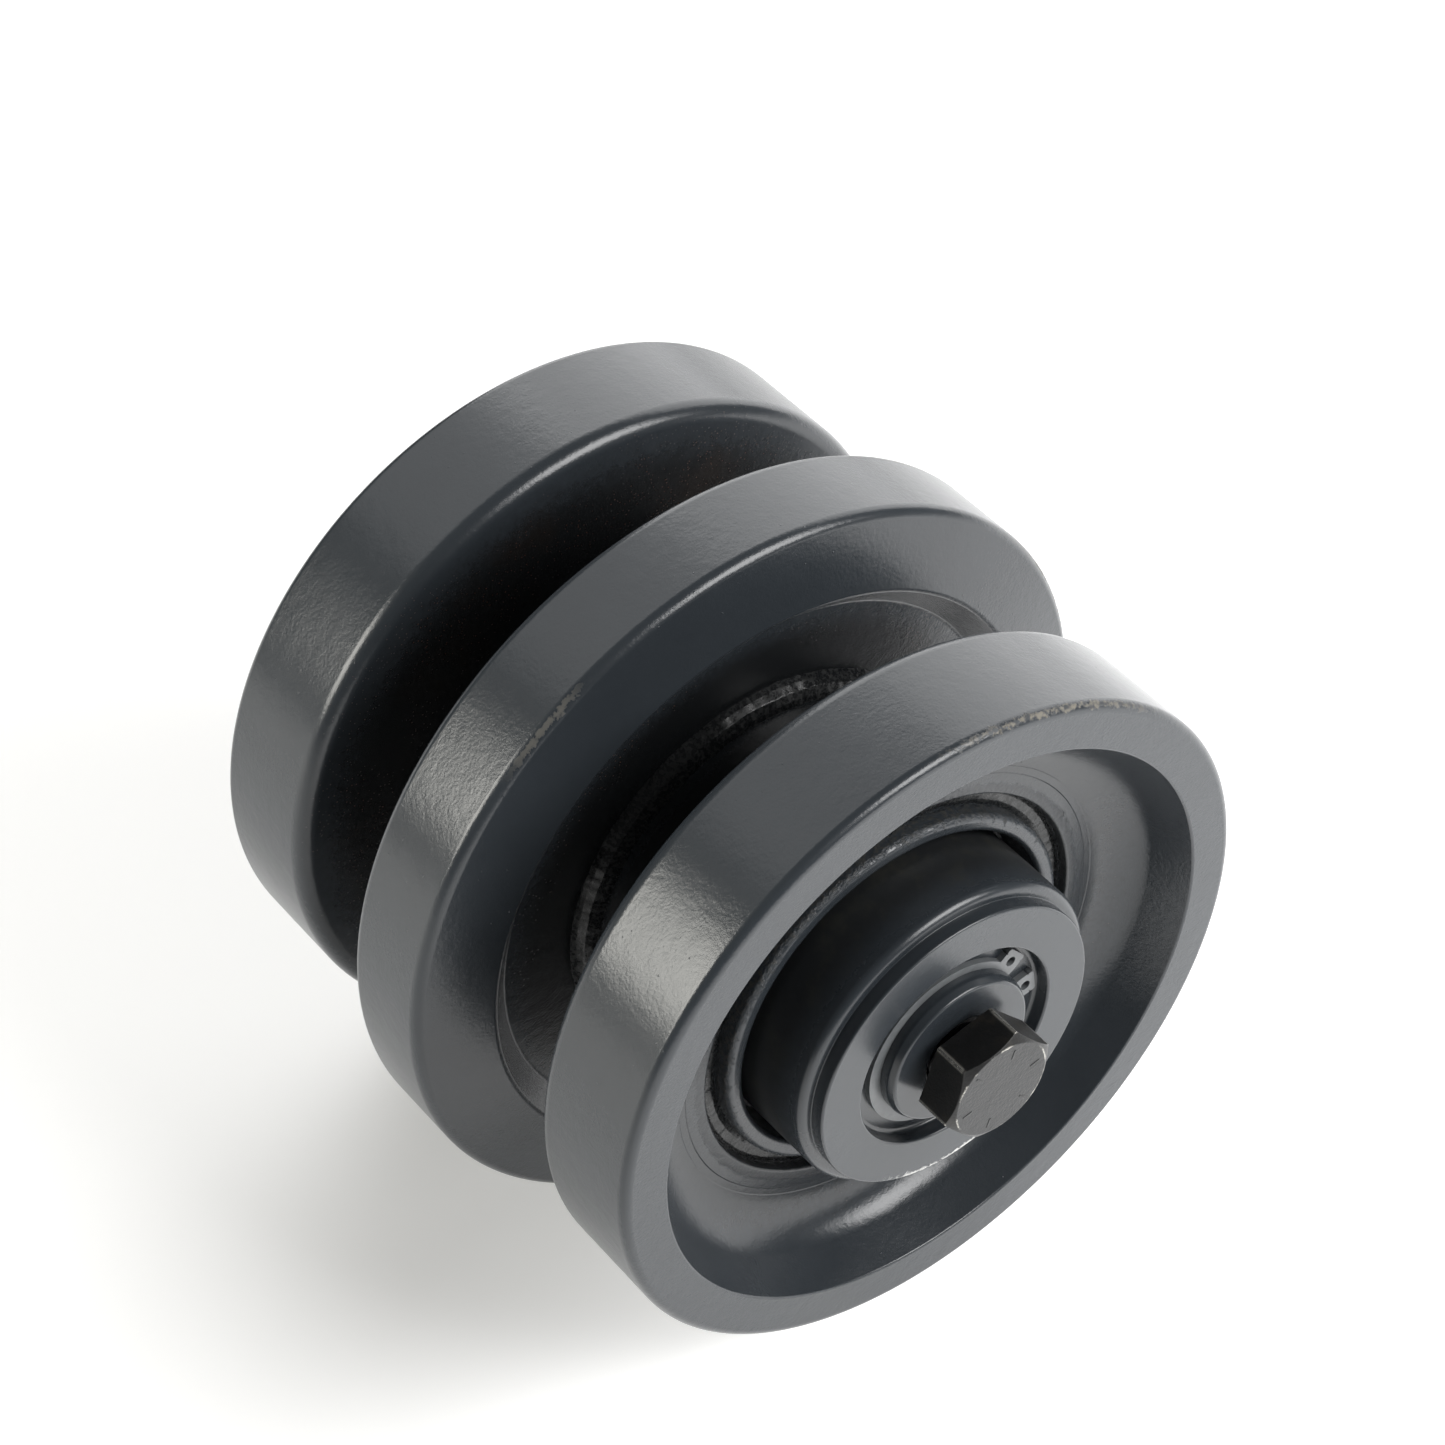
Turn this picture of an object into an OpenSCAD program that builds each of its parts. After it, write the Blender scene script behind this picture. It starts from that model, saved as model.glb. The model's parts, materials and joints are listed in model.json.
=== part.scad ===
// Sealed track roller with three treads: two dished outer wheels and a taller centre guide flange.
// The axle lies along Y and the origin is its middle point.
// Every turned piece is drawn as a half profile, with X as the radius and Y as the place on the axle.

/* [Treads] */
// Radius of the two outer treads
tread_r = 100; // [85:0.5:120]
// How far the centre flange stands above the outer treads
flange_rise = 9.5; // [4:0.5:16]
// Width over the two wheel rims
rim_w = 180; // [150:1:216]
// Width of one outer wheel, from its rim face to its back
wheel_w = 36.5; // [30:0.5:44]
// Rounding where a tread meets its rim face
rim_nose_r = 2.8; // [1:0.1:5]
// Rounding where a tread meets the back of its wheel
back_nose_r = 5; // [2:0.1:8]

/* [Dish] */
// Thickness of the rim ring around the dish, measured on the rim face
rim_t = 13.5; // [8:0.5:16]
// Depth of the dish from the rim face to the flat web
dish_depth = 20; // [12:0.5:24]
// How far the dish wall leans inwards between its mouth and the flat web
dish_lean = 17.5; // [10:0.5:22]
// Radius of the sweep between the dish wall and the web
dish_sweep_r = 14; // [6:0.5:16]
// Small chamfer around the mouth of the dish
mouth_chamfer = 0.8; // [0.3:0.1:2]

/* [Centre flange] */
// Width of the flange across its flat top
flange_top_w = 29.6; // [22:0.2:36]
// Rounding of the two top corners of the flange
flange_nose_r = 3.4; // [1:0.1:6]
// How much thicker each side gets from the top corner down to the lip
flange_draft = 4; // [1:0.5:6]
// Height of the flange ring, from its top down to the recessed web
flange_ring_h = 28.8; // [22:0.2:32]
// Slope length of the wall from the lip down into the recess
lip_run = 7.1; // [3:0.1:9]
// Rounding of the lip
lip_nose_r = 1.6; // [0.5:0.1:3]
// Thickness of the recessed web
flange_web_t = 23.8; // [16:0.2:29]

/* [Hub] */
// Thickness of the hub's end lip, between its bore and its outside
lip_t = 5; // [3.5:0.1:8]
// How far the hub's lip stands above the web of the dish
lip_out = 2.5; // [0.5:0.1:5]
// Rounding of both edges of the hub's lip
lip_round = 1.9; // [0.5:0.1:2.2]
// Depth of the hub's mouth, from the lip to the face of the seal seat
mouth_depth = 14.5; // [10:0.5:18]
// Width of the oil space between the two bushings
oil_w = 36; // [20:1:50]
// How far the oil space is opened out beyond the bushings
oil_rise = 7; // [1:0.5:10]

/* [Welds] */
// Leg of the fillet welds between the hub and the centre flange
flange_weld = 5.3; // [3:0.1:7]
// Width of the weld groove around the hub's lip
groove_w = 5.4; // [3:0.1:8]
// Depth of the weld groove below the web of the dish
groove_depth = 6; // [4:0.5:8]
// Height of the weld above the floor of its groove
groove_fill = 3; // [1.5:0.1:3.8]
// Bulge of the fillet welds, as a share of their leg
weld_bulge = 0.62; // [0.5:0.01:0.7]
// Height of the groove weld's two edges, as a share of its middle
weld_edge = 0.7; // [0.5:0.05:0.9]
// Width of the groove weld's sloping edges, as a share of its groove
weld_slope = 0.3; // [0.1:0.05:0.45]

/* [Shaft] */
// Diameter of the shaft's ends
shaft_d = 45; // [37:0.5:54]
// How far the middle journal stands above the shaft's ends
journal_step = 5; // [3:0.5:8]
// How far the shaft sticks out past the end face of the collars
shaft_out = 2; // [0.5:0.5:6]
// Length of the lead-in at the shaft's ends
lead_len = 2.5; // [1:0.1:4]
// Depth of the lead-in at the shaft's ends
lead_in = 0.6; // [0.2:0.1:1.5]
// Depth of the tapped holes in the shaft's ends
tap_depth = 45; // [30:1:54]
// Diameter of the oil drilling in the shaft
drill_d = 8; // [4:0.5:10]
// Diameter of the plug that closes the oil drilling
plug_d = 12; // [11:0.5:15]
// Length of the plug
plug_len = 10; // [6:0.5:14]

/* [Collars] */
// How far the collars stand out past the wheel rims
collar_out = 6.4; // [2:0.2:12]
// Wall of the collar around its seal pocket
collar_wall = 6.3; // [4:0.1:10]
// Wall of the collar's inner sleeve around the shaft
sleeve_t = 8; // [7.2:0.1:10]
// Length of the reduced land at the collar's end
land_len = 4.2; // [2:0.1:4.6]
// Edge rounding at the inner end of the collar's barrel
collar_edge_r = 1; // [0.4:0.1:1.5]
// Step from the collar's barrel down to its end land
land_step = 3.5; // [3.2:0.1:6]
// Rounding at the end of the collar's barrel
bead_r = 2.6; // [1:0.1:3]
// Edge rounding of the collar's end land
land_nose_r = 0.7; // [0.3:0.1:1.2]
// Radius of the recess for the circlip beyond the shaft
recess_rise = 8.2; // [7.8:0.1:9.5]
// Depth of the recess left above the circlip
recess_above = 2.9; // [1:0.1:5]
// Rounding at the floor of the circlip recess
recess_round = 1.4; // [0.5:0.1:2]
// Width of the packing ring groove in the shaft
packing_w = 3.6; // [2.5:0.1:5]
// Depth of the packing ring groove in the shaft
packing_depth = 2.3; // [1.5:0.1:3]
// Place of the packing ring, measured out from the floor of the seal pocket
packing_place = 6; // [3:0.5:9]
// Cut corners of the squeezed packing ring, as a share of its groove's width
packing_crush = 0.22; // [0.1:0.02:0.3]

/* [Seals] */
// Gap between the hub's seal seat and the collar's, at the mouth of the two pockets
seat_gap = 3.5; // [2.5:0.1:5]
// Depth of each seal pocket
pocket_depth = 7; // [6.4:0.1:9]
// Thickness of the metal seal ring at its back
ring_back_t = 1.9; // [1.2:0.1:3]
// Width of the metal seal ring's face
ring_face_t = 5.4; // [5:0.1:7]
// Length of the metal seal ring along the axle
ring_len = 6.75; // [6:0.05:8]
// Length of the flanged part of the metal seal ring
ring_flange_len = 2.2; // [1.2:0.1:3]
// Thickness of the squeezed rubber ring between its two cones
rubber_t = 5.3; // [4:0.1:7]
// Rise of the two seal cones for each unit of length
cone_rise = 0.33; // [0.15:0.01:0.45]
// Part of the seal ring's cone left free at each end of the rubber ring
rubber_inset = 0.6; // [0.2:0.1:1]
// How far the rubber ring bulges at its two ends
rubber_bulge = 0.5; // [0.1:0.1:0.6]

/* [Bushings] */
// Wall of the bushings
bush_wall = 4.45; // [3:0.05:6]
// Thickness of the bushings' thrust flange
bush_flange_t = 3; // [2:0.1:5]
// How far the thrust flange stands out past the bushing
bush_flange_rise = 4; // [3:0.1:5]
// How far the face of the thrust flange sits below the floor of the seal pocket
bush_below = 1; // [0.5:0.1:2]

/* [Bolts] */
// Thread diameter of the bolts
bolt_d = 20; // [16:0.5:24]
// Width of the bolt head across its flats
bolt_af = 30; // [25:0.5:36]
// Height of the bolt head
bolt_head_h = 12.5; // [9:0.1:16]
// Length of the bolt below its head
bolt_len = 45; // [36:1:54]
// Chamfer of the bolt's point and of the mouth of its tapped hole
bolt_chamfer = 1.5; // [0.5:0.1:2.5]
// Height of the washer face under the bolt head
washer_t = 0.6; // [0.3:0.1:1.2]
// How far the washer face and the top chamfer stay inside the flats
head_inset = 0.5; // [0.2:0.05:1]
// Steepness of the top chamfer: its depth for each unit of radius
head_slope = 0.65; // [0.4:0.05:1]
// Gap left between the bolt head and the shaft
bolt_gap = 3.3; // [0.5:0.1:8]
// Turn of the bolt heads about the axle, in degrees
bolt_turn = 12; // [0:1:59]

/* [Circlips] */
// Thickness of the circlips
clip_t = 1.75; // [1.4:0.05:2.2]
// Depth of the circlip groove in the shaft
clip_groove = 1.25; // [0.8:0.05:1.8]
// Widest part of the circlip's band
clip_band = 4.7; // [3.6:0.1:5.6]
// Offset that thins the band towards the lugs
clip_offset = 0.75; // [0.2:0.05:1]
// Angle of the gap between the lugs, in degrees
clip_turn = 24; // [0:1:359]
// Diameter of the plier holes
clip_hole_d = 3; // [2:0.1:3.6]
// Angle from the middle of the gap to each plier hole, in degrees
lug_angle = 16; // [15:0.5:20]
// Wall of the lugs beside the plier holes
lug_wall = 2.2; // [1.8:0.1:2.4]
// Wall of the lugs outside and inside the plier holes
lug_end = 1.6; // [1.2:0.1:1.8]
// Place of the plier holes across the band, as a share of its width
lug_place = 0.92; // [0.8:0.02:1]
// Corner rounding of the lugs
lug_round = 1; // [0.4:0.1:1.2]
// Half angle of the gap between the lugs, in degrees
gap_angle = 7.4; // [5:0.2:8]

/* [Clearances] */
// Radial running clearance between the journal and its bushings
run_gap = 0.05; // [0.01:0.01:0.1]
// End play between the bushings' flanges and the collars
end_play = 0.2; // [0.1:0.05:0.5]
// Radial gap between the hub's lip and the collar
lip_gap = 2.3; // [1:0.1:4]
// Radial gap between the turning seal ring and the collar's sleeve
sleeve_gap = 1.1; // [0.5:0.1:2]
// Gap between the two metal seal faces
seal_face_gap = 0.04; // [0.02:0.01:0.1]
// Side clearance of the circlip in its groove
clip_gap = 0.1; // [0.05:0.05:0.3]

/* [Hidden] */
$fn = 96;

paint = [0.36, 0.38, 0.40];
steel = [0.58, 0.59, 0.60];
dark_steel = [0.20, 0.20, 0.20];
bronze = [0.62, 0.46, 0.25];
rubber = [0.08, 0.08, 0.08];
// How far a cutter reaches past the face it cuts, and a joined shape into the one it joins
cut = 1;

// Radii, from the shaft outwards
shaft_r = shaft_d / 2;
journal_r = shaft_r + journal_step;
bush_in_r = journal_r + run_gap;
bush_r = bush_in_r + bush_wall;
bush_flange_r = bush_r + bush_flange_rise;
sleeve_r = shaft_r + sleeve_t;
ring_in_r = sleeve_r + sleeve_gap;
ring_back_r = ring_in_r + ring_back_t;
ring_face_r = ring_in_r + ring_face_t;
pocket_back_r = ring_back_r + rubber_t - cone_rise;
pocket_mouth_r = pocket_back_r + cone_rise * pocket_depth;
collar_r = pocket_mouth_r + collar_wall;
land_r = collar_r - land_step;
lip_in_r = collar_r + lip_gap;
hub_r = lip_in_r + lip_t;
groove_r = hub_r + groove_w;
dish_r = tread_r - rim_t;
flange_r = tread_r + flange_rise;
recess_r = shaft_r + recess_rise;

// Places along the axle, from the middle outwards
rim_y = rim_w / 2;
back_y = rim_y - wheel_w;
web_y = rim_y - dish_depth;
lip_y = web_y + lip_out;
seat_y = lip_y - mouth_depth;
floor_y = seat_y - pocket_depth;
seal_y = seat_y + seat_gap / 2;
bush_end_y = floor_y - bush_below;
bush_flange_y = bush_end_y - bush_flange_t;
sleeve_y = bush_end_y + end_play;
collar_seat_y = seat_y + seat_gap;
collar_floor_y = collar_seat_y + pocket_depth;
packing_y = collar_floor_y + packing_place;
collar_y = rim_y + collar_out;
clip_y = collar_y - recess_above - clip_t;
shaft_y = collar_y + shaft_out;
tap_y = shaft_y - tap_depth;
head_y = shaft_y + bolt_gap;

// Turns a half profile about the axle
module turned() {
  rotate([-90, 0, 0]) rotate_extrude($fn = 180) children();
}

// Puts a right-hand piece on its own side: 1 keeps it, -1 mirrors it to the left
module side(s) {
  if (s < 0) mirror([0, 1, 0]) children();
  else children();
}

// Half profile of a ring from radius r0 to r1 and from place y0 to y1
module ring(r0, r1, y0, y1) {
  translate([r0, y0]) square([r1 - r0, y1 - y0]);
}

// Cutter that rounds the outside corner at (x, y), which points towards (sx, sy)
module round_off(x, y, r, sx, sy) {
  difference() {
    translate([x - (sx > 0 ? r : cut), y - (sy > 0 ? r : cut)]) square(r + cut);
    translate([x - sx * r, y - sy * r]) circle(r);
  }
}

// Length of the line from (x, y) to (u, v)
function far(x, y, u, v) = sqrt((u - x) * (u - x) + (v - y) * (v - y));

// One dished outer wheel
sweep_x = dish_r - dish_lean;
sweep_y = web_y + dish_sweep_r;
mouth_far = far(sweep_x, sweep_y, dish_r, rim_y);
// Direction, seen from the sweep's centre, of the point where the straight wall leaves the sweep
wall_dir = atan2(rim_y - sweep_y, dish_r - sweep_x) - acos(dish_sweep_r / mouth_far);
wall_x = sweep_x + dish_sweep_r * cos(wall_dir);
wall_y = sweep_y + dish_sweep_r * sin(wall_dir);

module dish_profile() {
  translate([sweep_x, sweep_y]) circle(dish_sweep_r);
  polygon([[0, web_y], [sweep_x, web_y], [wall_x, wall_y], [dish_r, rim_y],
    [dish_r, rim_y + cut], [0, rim_y + cut]]);
  polygon([[dish_r - mouth_chamfer, rim_y - mouth_chamfer], [dish_r + mouth_chamfer + cut, rim_y + cut],
    [dish_r - mouth_chamfer, rim_y + cut]]);
}

module wheel(s) {
  color(paint) side(s) turned() difference() {
    ring(hub_r, tread_r, back_y, rim_y);
    dish_profile();
    ring(0, groove_r, web_y - groove_depth, rim_y + cut);
    round_off(tread_r, rim_y, rim_nose_r, 1, 1);
    round_off(tread_r, back_y, back_nose_r, 1, -1);
  }
}

module wheel_left() wheel(-1);
module wheel_right() wheel(1);

// The centre guide flange, with a recessed web on both sides
flange_y = flange_top_w / 2;
flange_lip_y = flange_y + flange_draft;
flange_web_y = flange_web_t / 2;
flange_recess_r = flange_r - flange_ring_h;
flange_lip_r = flange_recess_r + lip_run;

module flange_half() {
  difference() {
    polygon([[hub_r, 0], [flange_r, 0], [flange_r, flange_y], [flange_r - flange_nose_r, flange_y],
      [flange_lip_r, flange_lip_y], [flange_recess_r, flange_web_y], [hub_r, flange_web_y]]);
    round_off(flange_r, flange_y, flange_nose_r, 1, 1);
    lip_cut();
  }
}

// Directions of the two slopes that meet at the lip, and the rounding set between them
top_dir = atan2(flange_y - flange_lip_y, flange_r - flange_nose_r - flange_lip_r);
wall_in_dir = atan2(flange_web_y - flange_lip_y, flange_recess_r - flange_lip_r);
lip_mid = (top_dir + wall_in_dir) / 2;
lip_half = (top_dir - wall_in_dir) / 2;
lip_reach = lip_nose_r / tan(lip_half);

// Cutter that rounds the lip between the drafted side and the wall of the recess
module lip_cut() {
  translate([flange_lip_r, flange_lip_y]) difference() {
    polygon([[lip_reach * cos(top_dir), lip_reach * sin(top_dir)], [-cut * cos(lip_mid), -cut * sin(lip_mid)],
      [lip_reach * cos(wall_in_dir), lip_reach * sin(wall_in_dir)],
      lip_nose_r / sin(lip_half) * [cos(lip_mid), sin(lip_mid)]]);
    translate(lip_nose_r / sin(lip_half) * [cos(lip_mid), sin(lip_mid)]) circle(lip_nose_r);
  }
}

module centre_flange() {
  color(paint) turned() {
    flange_half();
    mirror([0, 1]) flange_half();
  }
}

// Fillet weld in the corner of the hub and the centre flange
module flange_weld_bead(s) {
  color(paint) side(s) turned()
    polygon([[hub_r, flange_web_y], [hub_r + flange_weld, flange_web_y],
      [hub_r + flange_weld * weld_bulge, flange_web_y + flange_weld * weld_bulge],
      [hub_r, flange_web_y + flange_weld]]);
}

module flange_weld_left() flange_weld_bead(-1);
module flange_weld_right() flange_weld_bead(1);

// Weld in the groove between a wheel and the hub's lip
weld_floor_y = web_y - groove_depth;

module wheel_weld_bead(s) {
  crown = groove_w * weld_slope;
  edge_y = weld_floor_y + groove_fill * weld_edge;
  color(paint) side(s) turned()
    polygon([[hub_r, weld_floor_y], [groove_r, weld_floor_y], [groove_r, edge_y],
      [groove_r - crown, weld_floor_y + groove_fill], [hub_r + crown, weld_floor_y + groove_fill],
      [hub_r, edge_y]]);
}

module wheel_weld_left() wheel_weld_bead(-1);
module wheel_weld_right() wheel_weld_bead(1);

// Cone of a seal seat: the radius at a distance d from the floor of its pocket
function seat_r(d) = pocket_back_r + cone_rise * d;
// Cone on the back of a metal seal ring, at a distance d from the floor of its pocket
function ramp_r(d) = ring_back_r + cone_rise * (d - ring_back_d);
ring_back_d = seal_y - seal_face_gap / 2 - ring_len - floor_y;

// Half profile of the hollow of one seal pocket, with its floor at y = 0
module pocket_profile() {
  polygon([[sleeve_r, 0], [seat_r(0), 0], [pocket_mouth_r, pocket_depth], [sleeve_r, pocket_depth]]);
}

// The hub, bored from both ends
module hub_bore_half() {
  ring(0, bush_r, -cut, bush_flange_y);
  ring(0, bush_r + oil_rise, -cut, oil_w / 2);
  ring(0, bush_flange_r, bush_flange_y, floor_y + cut);
  translate([0, floor_y]) pocket_profile();
  ring(0, sleeve_r + cut, floor_y, lip_y);
  ring(0, lip_in_r, seat_y, lip_y + cut);
  round_off(hub_r, lip_y, lip_round, 1, 1);
  round_off(lip_in_r, lip_y, lip_round, -1, 1);
}

module hub() {
  color(paint) turned() difference() {
    ring(0, hub_r, -lip_y, lip_y);
    hub_bore_half();
    mirror([0, 1]) hub_bore_half();
  }
}

// Flanged bushings, pressed into the hub
module bushing(s) {
  color(bronze) side(s) turned() {
    ring(bush_in_r, bush_r, oil_w / 2, bush_end_y);
    ring(bush_in_r, bush_flange_r, bush_flange_y, bush_end_y);
  }
}

module bushing_left() bushing(-1);
module bushing_right() bushing(1);

// The shaft: a journal in the middle and two ends that carry the collars
module shaft_end_cuts() {
  ring(shaft_r, journal_r + cut, sleeve_y, shaft_y + cut);
  ring(shaft_r - clip_groove, shaft_r + cut, clip_y, clip_y + clip_t + clip_gap);
  ring(shaft_r - packing_depth, shaft_r + cut, packing_y, packing_y + packing_w);
  polygon([[shaft_r, shaft_y - lead_len], [shaft_r - lead_in, shaft_y], [shaft_r - lead_in, shaft_y + cut],
    [shaft_r + cut, shaft_y + cut], [shaft_r + cut, shaft_y - lead_len]]);
  ring(0, bolt_d / 2, tap_y, shaft_y + cut);
  polygon([[0, shaft_y - bolt_chamfer], [bolt_d / 2, shaft_y - bolt_chamfer],
    [bolt_d / 2 + bolt_chamfer, shaft_y], [bolt_d / 2 + bolt_chamfer, shaft_y + cut], [0, shaft_y + cut]]);
}

module shaft() {
  color(steel) difference() {
    turned() difference() {
      ring(0, journal_r, -shaft_y, shaft_y);
      shaft_end_cuts();
      mirror([0, 1]) shaft_end_cuts();
      ring(0, drill_d / 2, 0, tap_y + cut);
      ring(0, plug_d / 2, tap_y - plug_len, tap_y + cut);
    }
    cylinder(d = drill_d, h = journal_r + cut, $fn = 48);
  }
}

// Plug that closes the oil drilling at the bottom of the right-hand tapped hole
module oil_plug() {
  socket_af = plug_d * 0.5;
  color(steel) rotate([-90, 0, 0]) difference() {
    translate([0, 0, tap_y - plug_len]) cylinder(d = plug_d, h = plug_len, $fn = 64);
    translate([0, 0, tap_y - plug_len / 2])
      cylinder(d = socket_af / cos(30), h = plug_len, $fn = 6);
  }
}

// Collars that close the hub's ends and rest in the track frame
module collar(s) {
  color(paint) side(s) turned() difference() {
    union() {
      ring(shaft_r, sleeve_r, sleeve_y, collar_floor_y + cut);
      ring(shaft_r, collar_r, collar_seat_y, collar_y - land_len);
      ring(shaft_r, land_r, collar_seat_y, collar_y);
    }
    translate([0, collar_floor_y]) mirror([0, 1]) pocket_profile();
    recess_profile();
    round_off(collar_r, collar_y - land_len, bead_r, 1, 1);
    round_off(land_r, collar_y, land_nose_r, 1, 1);
    round_off(collar_r, collar_seat_y, collar_edge_r, 1, -1);
  }
}

// Half profile of the circlip recess, with a rounded corner at its floor
module recess_profile() {
  difference() {
    ring(0, recess_r, clip_y, collar_y + cut);
    translate([recess_r - recess_round, clip_y]) difference() {
      translate([0, -cut]) square([recess_round + cut, recess_round + cut]);
      translate([0, recess_round]) circle(recess_round);
    }
  }
}

module collar_left() collar(-1);
module collar_right() collar(1);

// Circlips that hold the collars on the shaft, seen along the axle
clip_in_r = shaft_r - clip_groove;
clip_out_r = clip_in_r + clip_band - clip_offset;
clip_hole_r = clip_in_r + clip_band * lug_place;
lug_w = clip_hole_d + 2 * lug_wall;
lug_h = clip_hole_d + 2 * lug_end;
gap_reach = 2 * clip_out_r;

module clip_outline() {
  difference() {
    union() {
      translate([-clip_offset, 0]) circle(clip_out_r);
      for (a = [-lug_angle, lug_angle]) rotate(a) translate([clip_hole_r, 0]) {
        square([lug_h, lug_w - 2 * lug_round], center = true);
        translate([-lug_round, 0]) square([lug_h - 2 * lug_round, lug_w], center = true);
        for (t = [-1, 1])
          translate([lug_h / 2 - lug_round, t * (lug_w / 2 - lug_round)]) circle(lug_round, $fn = 24);
      }
    }
    circle(clip_in_r);
    for (a = [-lug_angle, lug_angle]) rotate(a) translate([clip_hole_r, 0]) circle(d = clip_hole_d, $fn = 32);
    polygon([[0, 0], [gap_reach, -gap_reach * tan(gap_angle)], [gap_reach, gap_reach * tan(gap_angle)]]);
  }
}

module circlips() {
  color(dark_steel) for (s = [-1, 1])
    side(s) translate([0, clip_y + clip_t, 0]) rotate([90, 0, 0])
      linear_extrude(clip_t) rotate(clip_turn) clip_outline();
}

// Packing rings in the shaft, squeezed by the collars
module packing_ring(s) {
  crush = packing_w * packing_crush;
  color(rubber) side(s) turned() translate([shaft_r - packing_depth, packing_y])
    polygon([[0, crush], [crush, 0], [packing_depth - crush, 0], [packing_depth, crush],
      [packing_depth, packing_w - crush], [packing_depth - crush, packing_w], [crush, packing_w],
      [0, packing_w - crush]]);
}

module packing_ring_left() packing_ring(-1);
module packing_ring_right() packing_ring(1);

// Metal seal ring of the turning side, with its lapped face towards the collar
module seal_profile() {
  back_y = floor_y + ring_back_d;
  face_y = seal_y - seal_face_gap / 2;
  step_y = face_y - ring_flange_len;
  polygon([[ring_in_r, back_y], [ring_back_r, back_y], [ramp_r(step_y - floor_y), step_y],
    [ring_face_r, step_y], [ring_face_r, face_y], [ring_in_r, face_y]]);
}

// Squeezed rubber ring between the seal ring's cone and the seat's cone
rubber_d0 = ring_back_d + rubber_inset;
rubber_d1 = ring_back_d + ring_len - ring_flange_len - rubber_inset;

module rubber_profile() {
  mid_r = (ramp_r(rubber_d0) + seat_r(rubber_d1)) / 2;
  polygon([[ramp_r(rubber_d0), floor_y + rubber_d0], [ramp_r(rubber_d1), floor_y + rubber_d1],
    [mid_r, floor_y + rubber_d1 + rubber_bulge], [seat_r(rubber_d1), floor_y + rubber_d1],
    [seat_r(rubber_d0), floor_y + rubber_d0], [mid_r, floor_y + rubber_d0 - rubber_bulge]]);
}

// Flips a profile of the turning side over the seal faces, to the fixed side
module fixed() {
  translate([0, 2 * seal_y]) mirror([0, 1]) children();
}

module turning_seal_left() { color(steel) side(-1) turned() seal_profile(); }
module turning_seal_right() { color(steel) side(1) turned() seal_profile(); }
module fixed_seal_left() { color(steel) side(-1) turned() fixed() seal_profile(); }
module fixed_seal_right() { color(steel) side(1) turned() fixed() seal_profile(); }
module turning_rubber_left() { color(rubber) side(-1) turned() rubber_profile(); }
module turning_rubber_right() { color(rubber) side(1) turned() rubber_profile(); }
module fixed_rubber_left() { color(rubber) side(-1) turned() fixed() rubber_profile(); }
module fixed_rubber_right() { color(rubber) side(1) turned() fixed() rubber_profile(); }

// Hexagon bolts in the tapped ends of the shaft
head_corner_r = bolt_af / 2 / cos(30);
head_top_r = bolt_af / 2 - head_inset;
head_cut = (head_corner_r - head_top_r) * head_slope;

module head_cone() {
  top_y = head_y + bolt_head_h;
  polygon([[0, head_y], [head_corner_r + cut, head_y],
    [head_corner_r + cut, top_y - head_cut - cut * head_slope], [head_top_r, top_y], [0, top_y]]);
}

module hex_bolts() {
  color(dark_steel) for (s = [-1, 1]) side(s) {
    intersection() {
      rotate([-90, 0, 0]) rotate(-bolt_turn) translate([0, 0, head_y + washer_t])
        cylinder(r = head_corner_r, h = bolt_head_h, $fn = 6);
      turned() head_cone();
    }
    turned() ring(0, head_top_r, head_y, head_y + washer_t + cut);
    turned() polygon([[0, head_y - bolt_len], [bolt_d / 2 - bolt_chamfer, head_y - bolt_len],
      [bolt_d / 2, head_y - bolt_len + bolt_chamfer], [bolt_d / 2, head_y + cut], [0, head_y + cut]]);
  }
}

shaft();
oil_plug();
hex_bolts();
circlips();
collar_left();
collar_right();
packing_ring_left();
packing_ring_right();
fixed_seal_left();
fixed_seal_right();
fixed_rubber_left();
fixed_rubber_right();
turning_seal_left();
turning_seal_right();
turning_rubber_left();
turning_rubber_right();
bushing_left();
bushing_right();
hub();
centre_flange();
wheel_left();
wheel_right();
flange_weld_left();
flange_weld_right();
wheel_weld_left();
wheel_weld_right();
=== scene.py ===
# %% [markdown]
# # A sealed track roller
# This roller carries the rubber track of a small loader. Two dished wheels and a taller centre flange are
# welded to a hub, and the hub turns on a fixed shaft. A collar with metal face seals closes each end.
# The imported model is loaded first, because every visible piece takes its place from it.

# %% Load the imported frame
import json
import math

import bmesh
import bpy
from mathutils import Matrix, Vector, noise

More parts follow.
